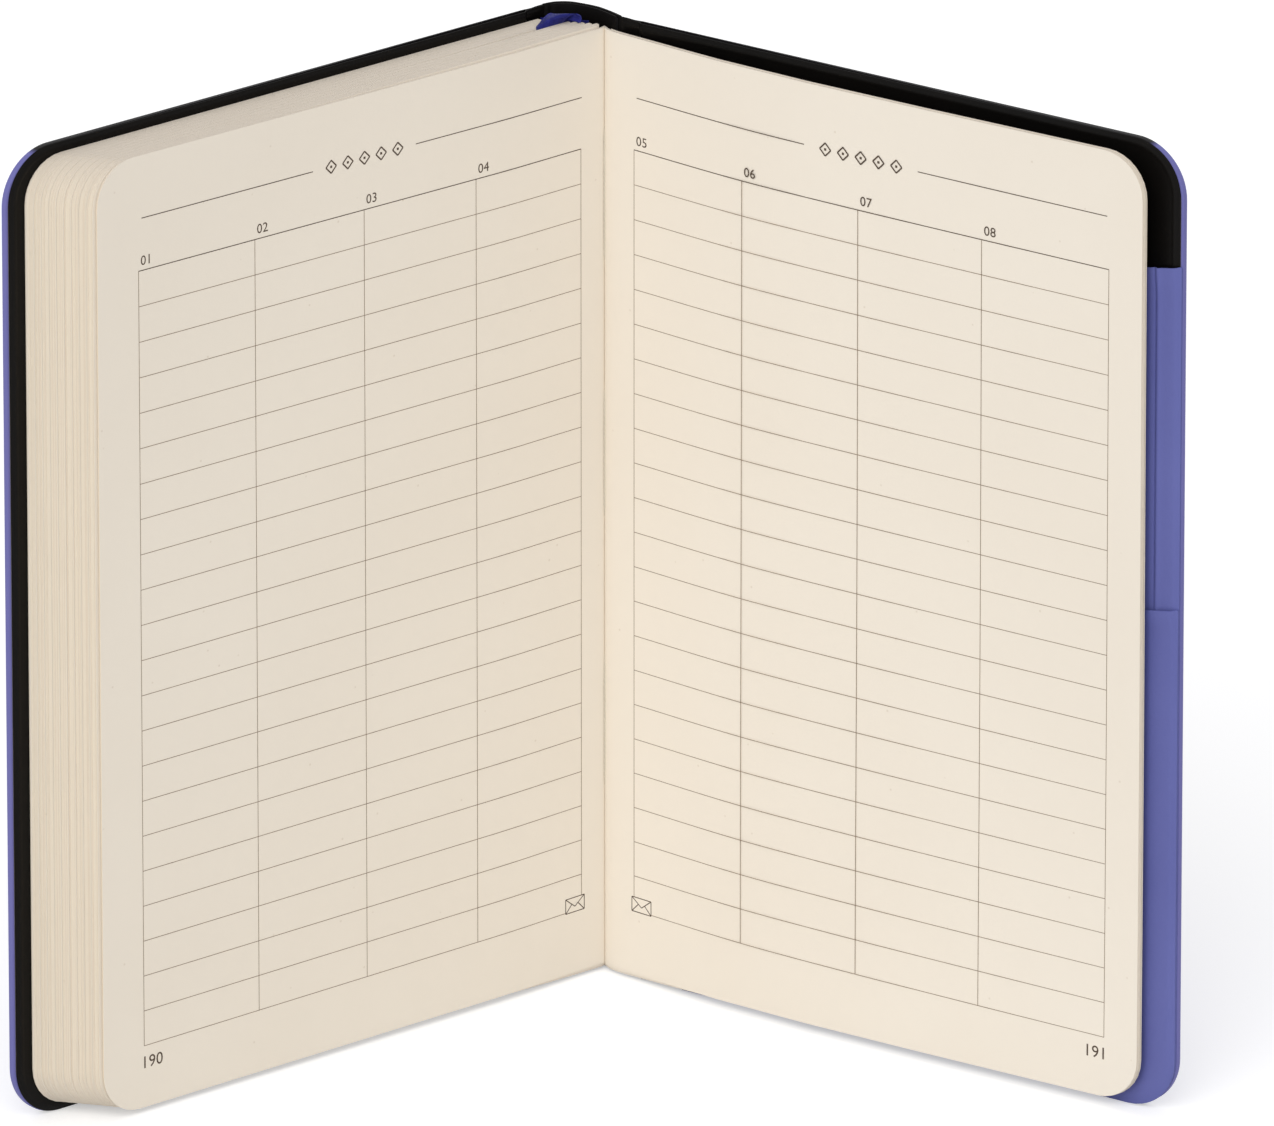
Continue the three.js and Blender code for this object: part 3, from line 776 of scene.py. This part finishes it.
def open_height(page, across, cut, share, drop=0):
    """Height on an open sheet, at a share of the way from its tail to its head. Sheets further back drop a
    little in the gutter."""
    tail_slant, head_slant = (left_tail, left_head) if page is left_page else (right_tail, right_head)
    low = page_tail / MM + cut + across * tail_slant - drop * (1 - smooth(across / 34))
    high = (page_tail + page_height) / MM - head_low - cut + across * head_slant
    return low + (high - low) * share


def gutter_sheet(name, back, nodes):
    """One sheet of the open section, `back` leaves behind the pages that show."""
    width_left = 113.3 - 0.05 * back
    width_right = 114.4 + 0.06 * back
    points = []
    for along, cut in leaf_stations(width_left * MM, first=0.6 * MM)[::-1]:
        points.append((left_page, along / MM, cut / MM))
    points += [(left_page, 0.25, 0), (None, 0, 0), (right_page, 0.2, 0), (right_page, 0.5, 0)]
    for along, cut in leaf_stations(width_right * MM, first=1 * MM):
        points.append((right_page, along / MM, cut / MM))
    rows = 14

    def place(column, share):
        page, across, cut = points[column]
        height = open_height(page, across, cut, share, 0.2 * back)
        if page is None:
            return Vector((gutter.x, gutter.y + (0.3 + 0.13 * back) * MM, height * MM))
        aside = 0.06 * back * (1 if across > 1 else 0.4) if across < 100 else 0
        return page(across + aside, height, back=back)

    sheet = bent_sheet(name, len(points) - 1, rows, place, sheet_thickness, [paper, block_edge, open_edge])
    for face in sheet.data.polygons:
        middle = face.center
        on_right = (middle.xy - gutter.xy).dot(to_right) > (middle.xy - gutter.xy).dot(to_left)
        if face.material_index == 2 and not on_right:
            face.material_index = 1
    smooth_edges(sheet, 40)
    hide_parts(*nodes)
    right_page(4, 90)
    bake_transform(sheet)


for back in range(5):
    gutter_sheet(f"open_sheet_{back + 1}", back, [f"open_leaf_{back + 1}", "section_10"])


# Back flyleaf: a heavier sheet behind the open leaves, in front of the pocket.
def back_flyleaf():
    stations = leaf_stations(114.7 * MM, first=1.4 * MM)

    def place(column, share):
        along, cut = stations[column]
        height = open_height(right_page, along / MM, cut / MM, share, 0.9)
        return right_page(along / MM, height, lift=-0.82 - 0.1 * smooth(along / MM / 60))

    leaf = bent_sheet("back_fly_sheet", len(stations) - 1, 14, place, 0.12 * MM, [paper, open_edge])
    smooth_edges(leaf, 40)
    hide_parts("back_flyleaf")
    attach(leaf, "open_leaves")


back_flyleaf()


# Print: fine grey rules of a table with four columns and 22 rows on both pages, printed on the paper, with
# plain numbers over the columns and at the foot. They are thin films that follow the page's curve.
print_grey, print_dark = [toned_finish(name, pulp, dark, light, roughness=0.85, Fibre=2600, Cloud=cloud)[0]
                          for name, dark, light, cloud in
                          (("grey printed rule", (116, 95, 74), (150, 128, 104), 400),
                           ("dark printed figure", (64, 50, 38), (94, 77, 62), 700))]
film = 0.008 * MM
film_lift = 0.062             # of the film's middle above the middle of the sheet, in millimetres


def left_print(across, height, lift):
    """A printed point on the left page. The rows spread by a hundredth towards the fore-edge."""
    return left_page(across, height + (height * 0.0000915 - 0.008) * across, lift)


def right_print(across, height, lift):
    return right_page(across, height, lift)


def rule(page, start, end, width=0.108, finish=print_grey):
    """A printed line on a page, between two points (across, height) in millimetres."""
    run = Vector((end[0] - start[0], end[1] - start[1]))
    aside = Vector((-run.y, run.x)).normalized() * width / 2
    columns = max(2, round(run.length / (2.5 if abs(run.x) > abs(run.y) else 6)))

    def place(column, share):
        at = Vector(start) + run * column / columns + aside * (2 * share - 1)
        return page(at.x, at.y, film_lift)

    return bent_sheet("rule", columns, 1, place, film, [finish])


def figures(page, body, middle, height, size):
    """Printed numerals, as a closed film laid on the page."""
    bpy.ops.object.select_all(action="DESELECT")
    bpy.ops.object.text_add()
    numerals = bpy.context.object
    numerals.data.body = body
    numerals.data.align_x = "CENTER"
    numerals.data.size = size
    numerals.data.space_character = 1.02
    numerals.data.extrude = film / MM / 2
    numerals.data.resolution_u = 3
    bpy.ops.object.convert(target="MESH")
    side = -1 if page is left_print else 1
    for vertex in numerals.data.vertices:
        x, y, z = vertex.co
        vertex.co = page(middle + side * x, height + y, film_lift + z)
    numerals.data.materials.clear()
    numerals.data.materials.append(print_dark)
    bpy.ops.object.mode_set(mode="EDIT")
    bpy.ops.mesh.select_all(action="SELECT")
    bpy.ops.mesh.remove_doubles(threshold=1e-7)
    bpy.ops.mesh.normals_make_consistent(inside=False)
    bpy.ops.object.mode_set(mode="OBJECT")
    return numerals


def envelope(page, middle, low):
    """The small pictogram at the table's inner foot: a rectangle with a flap and two folds."""
    left, right, top = middle - 2.17, middle + 2.17, low + 2.73
    tip = (middle, low + 1.0)
    lines = [((left, low), (right, low)), ((left, top), (right, top)), ((left, low), (left, top)),
             ((right, low), (right, top)), ((left, top), tip), (tip, (right, top)),
             ((left, low), (middle - 0.75, low + 1.5)), ((right, low), (middle + 0.75, low + 1.5))]
    return [rule(page, start, end, 0.16, print_dark) for start, end in lines]


def lozenge(page, middle, height):
    """One link of the plain ornament in the title's place: an open lozenge and a dot beside it."""
    wide, tall = 1.15, 1.2
    corners = [(middle - wide, height), (middle, height + tall), (middle + wide, height),
               (middle, height - tall)]
    sides = [rule(page, corners[side], corners[(side + 1) % 4], 0.26, print_dark) for side in range(4)]
    return sides + [rule(page, (middle - 0.22, height), (middle + 0.22, height), 0.44, print_dark)]


def printed_page(name, page, body, lines, foot, header, title, title_ends, title_gap, numbers, page_number,
                 pictogram):
    """All print of one page: `lines` are the places of its five upright rules, the gutter's first."""
    table = []
    row_height = (header - foot) / 22
    for line in lines:
        table.append(rule(page, (line, foot + (2.5 if line == lines[0] else 0)), (line, header)))
    for row in range(22):
        start = pictogram + 2.17 if row == 0 else lines[0]
        table.append(rule(page, (start, foot + row_height * row), (lines[-1], foot + row_height * row)))
    table.append(rule(page, (lines[0], header), (lines[-1], header), 0.16, print_dark))
    for start, end in ((title_ends[0], title_gap[0]), (title_gap[1], title_ends[1])):
        table.append(rule(page, (start, title), (end, title), 0.16, print_dark))
    for step in (-2, -1, 0, 1, 2):
        table += lozenge(page, (title_gap[0] + title_gap[1]) / 2 + step * 3.7, title)
    table += envelope(page, pictogram, foot - 0.2)
    for column, number in enumerate(numbers):
        start = lines[column + 1] - 1.7 if page is left_print else lines[column] + 1.7
        table.append(figures(page, number, start, header + 0.95, 2.5))
    outer = lines[-1] - 1.75
    table.append(figures(page, page_number, outer, foot - 4.2, 3.2))
    printed = join_pieces(table, name)
    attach(printed, body)


printed_page("left_page_print", left_print, "section_10", lines=(5.47, 29.52, 54.49, 78.72, 104.33),
             foot=13.1, header=156.2, title=165.75, title_ends=(5.27, 103.6), title_gap=(42.9, 65.8),
             numbers=("04", "03", "02", "01"), page_number="190", pictogram=7)
printed_page("right_page_print", right_print, "open_leaves", lines=(7.31, 31.31, 55.87, 81.52, 107.62),
             foot=13.55, header=156.85, title=166.6, title_ends=(7.9, 107.2), title_gap=(44.6, 68.3),
             numbers=("05", "06", "07", "08"), page_number="191", pictogram=9)


# Sewing thread: a long stitch of two twisted plies between each pair of holes in the middle of the open
# section. It dips into the paper at both ends.
thread_ply = 0.1 * MM
sewing_holes = (19, 44, 68, 92, 118, 143)      # below the head of the page, in millimetres
linen = toned_finish("waxed linen thread", pulp, (206, 196, 176), (236, 229, 214), (0.00004, 0.8),
                     roughness=0.6, scale=(1, 1, 0.2), Fibre=9000, Cloud=900)[0]

for stitch in range(3):
    top = page_tail + page_height - sewing_holes[2 * stitch] * MM
    foot = page_tail + page_height - sewing_holes[2 * stitch + 1] * MM
    at = gutter.xy - Vector((0, 0.24)) * MM
    plies = []
    for side in (-1, 1):
        bpy.ops.object.select_all(action="DESELECT")
        bpy.ops.mesh.primitive_cylinder_add(vertices=10, radius=thread_ply, depth=top - foot,
                                            location=(side * thread_ply * 0.95, 0, (top + foot) / 2))
        ply = bpy.context.object
        bpy.ops.object.transform_apply(location=True, rotation=True, scale=True)
        bpy.ops.object.mode_set(mode="EDIT")
        cuts = 120
        cut_at(ply, [foot + (top - foot) * step / cuts for step in range(1, cuts)], 2)
        bpy.ops.object.mode_set(mode="OBJECT")
        plies.append(ply)
    thread = join_pieces(plies, f"sewing_thread_{stitch + 1}")
    for vertex in thread.data.vertices:
        share = (vertex.co.z - foot) / (top - foot)
        turn = share * (top - foot) / (1.1 * MM) * math.pi
        tight = 1 - 0.5 * math.exp(-min(share, 1 - share) * (top - foot) / (0.5 * MM))
        x, y = vertex.co.x * tight, vertex.co.y * tight
        into = 0.3 * MM * math.exp(-min(share, 1 - share) * (top - foot) / (0.8 * MM))
        vertex.co.x = at.x + x * math.cos(turn) - y * math.sin(turn)
        vertex.co.y = at.y + into + x * math.sin(turn) + y * math.cos(turn)
    thread.data.materials.append(linen)
    smooth_edges(thread, 50)
    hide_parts(f"stitch_{stitch + 1}")
    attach(thread, "section_10")


# Gauze: an open-weave cotton strip glued over the folds, which holds the sections together behind the text
# block. It is a net of crossing threads in a thin film of glue.
gauze_stand = (257.16, (1.5 * MM, 0), (-6.023 * MM, 36.073 * MM))
gauze_low, gauze_high = 0.08 * MM, 9.48 * MM
gauze_tail = 10 * MM
gauze_height = 160 * MM
cotton = toned_finish("glued cotton gauze", pulp, (196, 190, 174), (226, 222, 212), (0.00005, 0.7),
                      roughness=0.8, Fibre=6000, Cloud=300)[0]


def gauze_net(column, share):
    return (1.425 * MM, gauze_low + (gauze_high - gauze_low) * column / 12, gauze_tail + gauze_height * share)


gauze = bent_sheet("sewing_gauze", 12, 150, gauze_net, 0.02 * MM, [cotton])
bpy.ops.object.modifier_add(type="WIREFRAME")
gauze.modifiers[-1].thickness = 0.12 * MM
gauze.modifiers[-1].use_replace = False
gauze.modifiers[-1].use_even_offset = False
bpy.ops.object.modifier_apply(modifier=gauze.modifiers[-1].name)
stand_open(gauze, gauze_stand)
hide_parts("binding_gauze")
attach(gauze, "binding")


# Ribbon: a blue woven satin marker. Its end is glued flat behind the gauze; from there it turns over the head
# of the folds in a half-moon and hangs down between two sections.
ribbon_width = 9.6 * MM
ribbon_thickness = 0.2 * MM
ribbon_middle = fold_line + 1 * MM + ribbon_width / 2
ribbon_level = 0.5 * (leaf_level(ribbon_side, 1, 6 * MM) + leaf_level(ribbon_side + 1, 0, 6 * MM))
page_head = page_tail + page_height
ribbon_foot = 14 * MM
gathered = 2.6 * MM           # at the head the ribbon gathers towards the folds, to five eighths of its width

satin = toned_finish("blue satin ribbon", pulp, (16, 18, 92), (58, 62, 168), roughness=0.42, shine=0.25,
                     Fibre=2600, Cloud=900)[0]
satin_place = add_node(satin.node_tree, "UVMap", {}, uv_map="UVMap")
across_threads, along_threads = [add_node(satin.node_tree, "TexWave", {"Vector": satin_place.outputs["UV"],
                                                                       "Scale": count, "Distortion": 0.6},
                                          bands_direction=axis) for axis, count in (("X", 12), ("Y", 110))]
weave = add_node(satin.node_tree, "Math", {0: across_threads.outputs["Fac"], 1: 0.6,
                                           2: along_threads.outputs["Fac"]}, operation="MULTIPLY_ADD")
raise_relief(satin, weave.outputs[0], 0.00007, 0.8)


def ribbon_bend(share):
    """A point of the bend over the head, and its direction, on one smooth curve."""
    far, near = ribbon_middle - gathered, fold_line - 0.6 * MM
    rise = 1.3 * 1.75 * MM
    ends = [Vector((x, ribbon_level, page_head + up))
            for x, up in ((far, 0), (far, rise), (near, rise), (near, 0.4 * MM))]
    rest = 1 - share
    at = (ends[0] * rest ** 3 + ends[1] * 3 * rest ** 2 * share + ends[2] * 3 * rest * share ** 2
          + ends[3] * share ** 3)
    run = ((ends[1] - ends[0]) * rest ** 2 + (ends[2] - ends[1]) * 2 * rest * share
           + (ends[3] - ends[2]) * share ** 2)
    return at, run.normalized()


def ribbon_place(column, share):
    """Columns run along the ribbon from its foot, 24 straight and 28 in the bend. The share is across it."""
    gather = smooth((column - 14) / 10)
    aside = (2 * share - 1) * ribbon_width / 2 * (1 - 0.375 * gather)
    if column <= 24:
        height = ribbon_foot + (page_head - ribbon_foot) * column / 24
        slant = 1.2 * MM * (1 - abs(2 * share - 1)) * (1 if column == 0 else 0)
        ripple = 0.02 * MM * math.sin(height / (7 * MM))
        return (ribbon_middle - gathered * gather + aside,
                ribbon_level + ripple * smooth(1 - column / 24), height + slant)
    bend = (column - 24) / 28
    at, run = ribbon_bend(bend)
    turn = math.radians(78) * bend
    across = Vector((math.cos(turn), -math.sin(turn), 0))
    # its outer side lies low on the head of the block, so that the bend shows as a half-moon
    low = 0.9 * max((share - 0.3) / 0.7, 0) ** 2 * (1 - smooth(bend * 1.4 - 0.4))
    point = at + across * aside
    point.z -= (at.z - page_head) * low
    return point


ribbon = bent_sheet("ribbon_loop", 52, 8, ribbon_place, ribbon_thickness * 0.8, [satin])
stand_open(ribbon, (216.5, (2.4 * MM, 0), section_place))
smooth_edges(ribbon, 50)
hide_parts("ribbon_marker")
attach(ribbon, "section_04")


def ribbon_end_place(column, share):
    height = page_head - 28 * MM * (1 - column / 30)
    aside = (2 * share - 1) * 8.6 * MM / 2
    return (1.22 * MM, ribbon_level_at_gauze + aside, height)


ribbon_level_at_gauze = block_level(ribbon_side / sections_shown, 6.5 * MM)
ribbon_end = bent_sheet("ribbon_glued_strip", 30, 6, ribbon_end_place, ribbon_thickness * 0.8, [satin])
stand_open(ribbon_end, gauze_stand)
smooth_edges(ribbon_end, 50)
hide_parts("ribbon_glued_end")
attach(ribbon_end, "binding")
